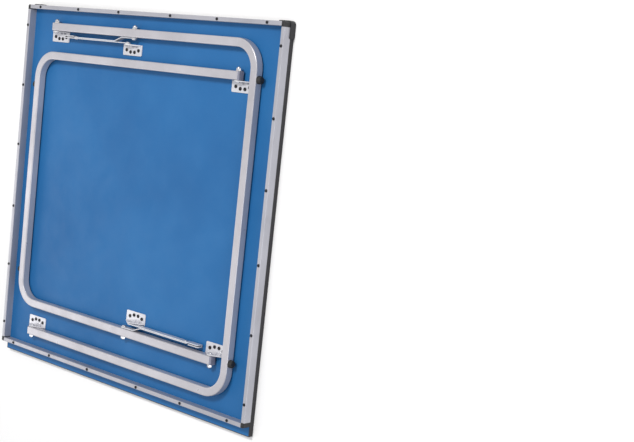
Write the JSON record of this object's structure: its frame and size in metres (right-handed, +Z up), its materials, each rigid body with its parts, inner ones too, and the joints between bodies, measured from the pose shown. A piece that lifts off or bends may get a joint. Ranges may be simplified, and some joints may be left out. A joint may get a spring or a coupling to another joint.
{
  "type": "folding table",
  "caption": "Half of a folding games table: blue board with a silver apron, black corner bumpers and nested U-shaped tube legs that fold flat under it on locking braces.",
  "frame": {"origin": "middle of the folded unit's length and width, on the playing side that it lies on", "axes": "+X across the board from the wide leg's hinge to the narrow leg's, +Y from the net edge to the end edge, +Z up out of the underside, the way the legs open"},
  "size_m": [0.92, 0.917, 0.0345],
  "materials": {
    "panel_paint": "satin blue lacquer over fibreboard, slight orange peel, white marking lines on the playing side",
    "edge_band": "black plastic edge band, fine grain",
    "corner_plastic": "black moulded plastic, fine spark-eroded texture",
    "rail_paint": "silver powder coat, fine metallic speckle",
    "bracket_paint": "silver powder coat on pressed steel, worn at the edges",
    "leg_paint": "silver powder coat, fine metallic speckle, scuffs at the bends",
    "link_paint": "silver powder coat, rubbed where the links slide",
    "rivet_steel": "zinc-plated steel, turned heads",
    "bolt_zinc": "bright zinc plate",
    "black_screw": "black oxide with oil sheen",
    "nylon_washer": "natural nylon",
    "plug_plastic": "grey moulded plastic",
    "foot_rubber": "black rubber, matte, dusty at the sole"
  },
  "bodies": {
    "top": {"anchor_rivet_a": "rivet_steel", "anchor_rivet_b": "rivet_steel", "anchor_washers": "nylon_washer", "apron_rail_end": "rail_paint", "apron_rail_left": "rail_paint", "apron_rail_net": "rail_paint", "apron_rail_right": "rail_paint", "apron_screws": "black_screw", "brace_anchor_a": "bracket_paint", "brace_anchor_b": "bracket_paint", "bracket_screws": "black_screw", "corner_bumper_left": "corner_plastic", "corner_bumper_right": "corner_plastic", "edge_band_end": "edge_band", "edge_band_left": "edge_band", "edge_band_net": "edge_band", "edge_band_right": "edge_band", "hinge_bolt_a_high": "bolt_zinc", "hinge_bolt_a_low": "bolt_zinc", "hinge_bolt_b_high": "bolt_zinc", "hinge_bolt_b_low": "bolt_zinc", "hinge_bracket_a_high": "bracket_paint", "hinge_bracket_a_low": "bracket_paint", "hinge_bracket_b_high": "bracket_paint", "hinge_bracket_b_low": "bracket_paint", "hinge_cap_nuts": "bolt_zinc", "hinge_washers": "nylon_washer", "panel": "panel_paint", "rail_corner_end_left": "corner_plastic", "rail_corner_end_right": "corner_plastic", "rail_corner_net_left": "corner_plastic", "rail_corner_net_right": "corner_plastic"},
    "leg_a": {"leg_a_brace_bolt": "bolt_zinc", "leg_a_brace_nut": "bolt_zinc", "leg_a_brace_washers": "nylon_washer", "leg_a_end_plug_high": "plug_plastic", "leg_a_end_plug_low": "plug_plastic", "leg_a_foot_high": "foot_rubber", "leg_a_foot_low": "foot_rubber", "leg_a_tube": "leg_paint"},
    "leg_b": {"leg_b_brace_bolt": "bolt_zinc", "leg_b_brace_nut": "bolt_zinc", "leg_b_brace_washers": "nylon_washer", "leg_b_end_plug_high": "plug_plastic", "leg_b_end_plug_low": "plug_plastic", "leg_b_foot_high": "foot_rubber", "leg_b_foot_low": "foot_rubber", "leg_b_tube": "leg_paint"},
    "brace_a_board_link": {"brace_a_board_link": "link_paint", "brace_a_rivet_board_half": "rivet_steel"},
    "brace_a_leg_link": {"brace_a_leg_link": "link_paint", "brace_a_rivet_leg_half": "rivet_steel"},
    "brace_b_board_link": {"brace_b_board_link": "link_paint", "brace_b_rivet_board_half": "rivet_steel"},
    "brace_b_leg_link": {"brace_b_leg_link": "link_paint", "brace_b_rivet_leg_half": "rivet_steel"}
  },
  "joints": [
    {"name": "leg_a_fold", "type": "hinge", "parent": "top", "child": "leg_a", "pos_m": [-0.33801, 0.0095, 0.0245], "axis": [0, -1, 0], "range_deg": [0, 91]},
    {"name": "leg_b_fold", "type": "hinge", "parent": "top", "child": "leg_b", "pos_m": [0.326, 0.0095, 0.0245], "axis": [0, 1, 0], "range_deg": [0, 91]},
    {"name": "brace_a_anchor_pivot", "type": "hinge", "parent": "top", "child": "brace_a_board_link", "pos_m": [-0.05601, 0.379, 0.0245], "axis": [0, -1, 0], "range_deg": [-46.53, 0]},
    {"name": "brace_a_leg_pivot", "type": "hinge", "parent": "leg_a", "child": "brace_a_leg_link", "pos_m": [-0.03501, 0.3915, 0.0245], "axis": [0, -1, 0], "range_deg": [0, 42.48]},
    {"name": "brace_b_anchor_pivot", "type": "hinge", "parent": "top", "child": "brace_b_board_link", "pos_m": [0.044, -0.287, 0.0245], "axis": [0, 1, 0], "range_deg": [-46.53, 0]},
    {"name": "brace_b_leg_pivot", "type": "hinge", "parent": "leg_b", "child": "brace_b_leg_link", "pos_m": [0.023, -0.2995, 0.0245], "axis": [0, 1, 0], "range_deg": [0, 42.48]}
  ],
  "couplings": [
    {"joint": "brace_a_anchor_pivot", "follows": "leg_a_fold", "ratio": -0.51121},
    {"joint": "brace_a_leg_pivot", "follows": "leg_a_fold", "ratio": 0.46681},
    {"joint": "brace_b_anchor_pivot", "follows": "leg_b_fold", "ratio": -0.51121},
    {"joint": "brace_b_leg_pivot", "follows": "leg_b_fold", "ratio": 0.46681}
  ]
}
